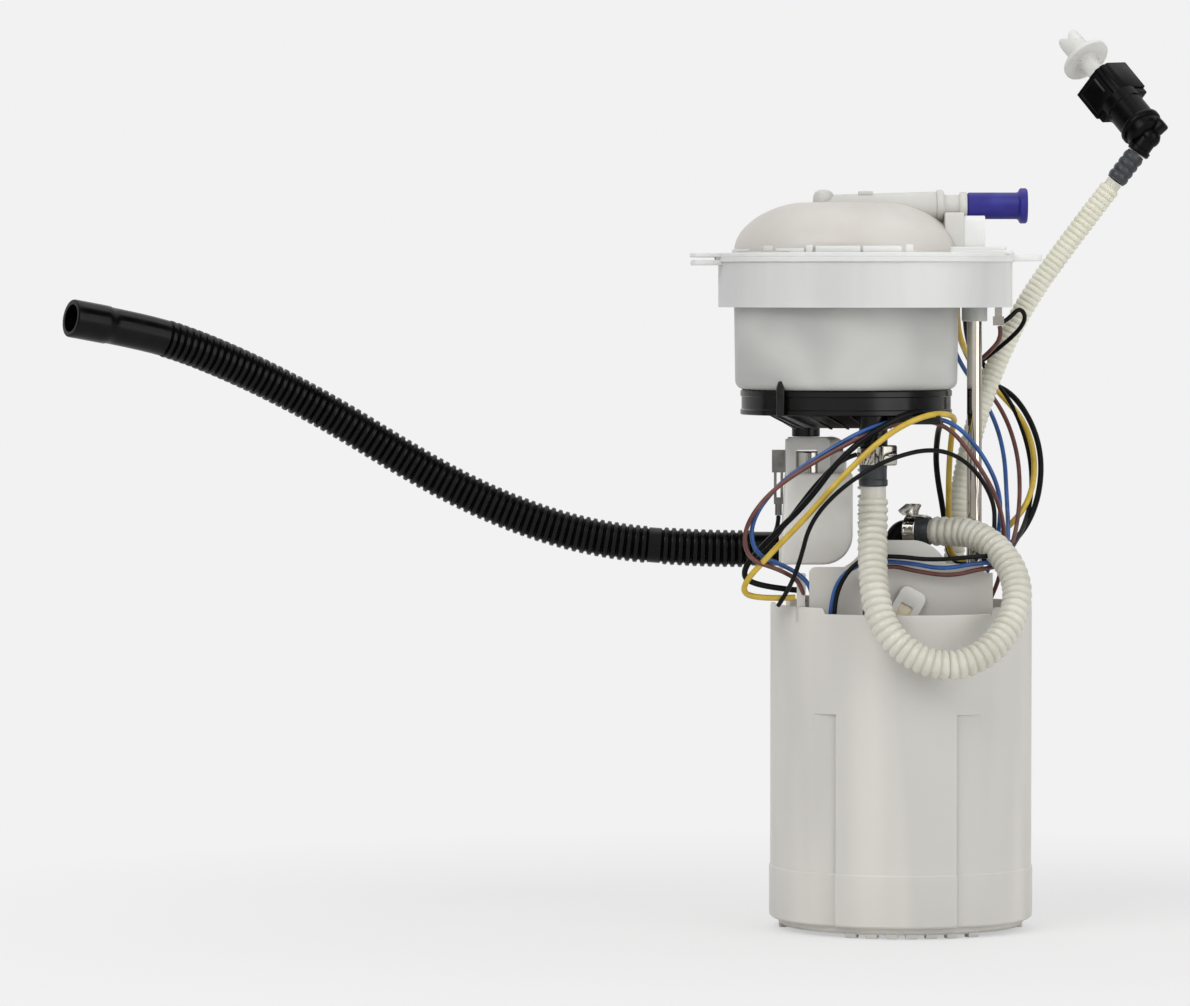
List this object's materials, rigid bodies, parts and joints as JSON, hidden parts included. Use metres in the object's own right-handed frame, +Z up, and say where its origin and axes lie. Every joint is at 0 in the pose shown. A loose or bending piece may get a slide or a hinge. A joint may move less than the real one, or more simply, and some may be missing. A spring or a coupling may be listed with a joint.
{
  "type": "in-tank electric fuel pump module",
  "caption": "In-tank fuel pump module: flange lid with filter and pressure regulator above a reservoir pot, joined by sprung guide rods, corrugated hoses and wires.",
  "frame": {"origin": "centre of the tank opening at the plane where the flange rim seats", "axes": "+Z up out of the tank along the collar axis, +X the way the fuel outlet nozzle points"},
  "size_m": [0.4878, 0.1681, 0.3991],
  "materials": {
    "warm_white_plastic": "satin",
    "cool_white_plastic": "satin",
    "pot_white_plastic": "satin",
    "bright_white_plastic": "satin",
    "black_plastic": "gloss",
    "blue_plastic": "satin",
    "cream_hose": "satin",
    "clear_hose": "satin",
    "slate_cuff": "satin",
    "black_hose": "gloss",
    "steel": "polished",
    "rod_steel": "polished",
    "spring_steel": "satin",
    "motor_steel": "satin",
    "ferrite": "matt",
    "copper": "satin",
    "tin_terminal": "polished",
    "filter_paper": "matt",
    "strainer_mesh": "matt",
    "valve_rubber": "matt",
    "yellow_insulation": "satin",
    "black_insulation": "satin",
    "blue_insulation": "satin",
    "brown_insulation": "satin"
  },
  "bodies": {
    "reservoir": {"reservoir_pot": "pot_white_plastic", "base_plate": "pot_white_plastic", "pump_carrier": "pot_white_plastic", "carrier_latch": "bright_white_plastic", "pump_shell": "motor_steel", "pump_isolator": "black_plastic", "pump_inlet": "pot_white_plastic", "pump_head": "pot_white_plastic", "magnets": "ferrite", "brushes": "bright_white_plastic", "shaft_bearings": "copper", "strainer": "strainer_mesh", "jet_pump": "pot_white_plastic", "outlet_elbow": "black_plastic", "elbow_cuff": "slate_cuff", "ear_clamp": "steel", "feed_hose": "clear_hose", "return_hose": "cream_hose", "return_hose_cuff": "slate_cuff", "quick_connector": "black_plastic", "connector_retainer": "slate_cuff"},
    "flange": {"flange_lid": "warm_white_plastic", "connector_pins": "tin_terminal", "filter_bowl": "cool_white_plastic", "filter_element": "filter_paper", "filter_core": "bright_white_plastic", "filter_upper_cap": "bright_white_plastic", "filter_lower_cap": "bright_white_plastic", "filter_base": "black_plastic", "regulator_housing": "bright_white_plastic", "regulator_can": "steel", "relief_valve_seal": "valve_rubber", "relief_valve_cap": "bright_white_plastic", "ground_terminal": "tin_terminal", "worm_clamp_band": "steel", "worm_clamp_screw": "steel", "feed_hose_cuff": "slate_cuff", "guide_rod_front": "rod_steel", "guide_rod_rear": "rod_steel", "rod_clips": "steel", "spring_washer": "steel", "guide_spring": "spring_steel", "terminal_clip": "tin_terminal", "drain_hose": "black_hose", "yellow_wire": "yellow_insulation", "black_wire": "black_insulation", "blue_wires": "blue_insulation", "brown_wires": "brown_insulation", "thin_black_wires": "black_insulation"},
    "rotor": {"armature": "motor_steel", "commutator": "copper", "rotor_shaft": "rod_steel", "impeller": "black_plastic"},
    "nozzle_cap": {"port_cap": "blue_plastic"},
    "connector_plug": {"transport_plug": "bright_white_plastic"},
    "foot_valve_disc": {"foot_valve": "valve_rubber"},
    "check_poppet": {"outlet_check_valve": "black_plastic"}
  },
  "joints": [
    {"name": "flange_slide", "type": "slide", "parent": "reservoir", "child": "flange", "axis": [0, 0, 1], "range_m": [-0.03, 0], "stiffness_N_per_m": 600, "springref_m": 0.02, "deforming": ["guide_spring", "feed_hose", "yellow_wire", "black_wire", "blue_wires", "brown_wires", "thin_black_wires"]},
    {"name": "rotor_spin", "type": "hinge", "parent": "reservoir", "child": "rotor", "pos_m": [0.0134, -0.008, -0.225], "axis": [0, 0, 1], "continuous": true},
    {"name": "nozzle_cap_pull", "type": "slide", "parent": "flange", "child": "nozzle_cap", "axis": [1, 0, 0], "range_m": [0, 0.03]},
    {"name": "connector_plug_pull", "type": "slide", "parent": "reservoir", "child": "connector_plug", "axis": [-0.4827, 0.5732, 0.6622], "range_m": [0, 0.03]},
    {"name": "foot_valve_lift", "type": "slide", "parent": "reservoir", "child": "foot_valve_disc", "axis": [0, 0, 1], "range_m": [0, 0.002]},
    {"name": "check_valve_lift", "type": "slide", "parent": "reservoir", "child": "check_poppet", "axis": [0, 0, 1], "range_m": [0, 0.0015], "stiffness_N_per_m": 50, "springref_m": -0.002}
  ]
}
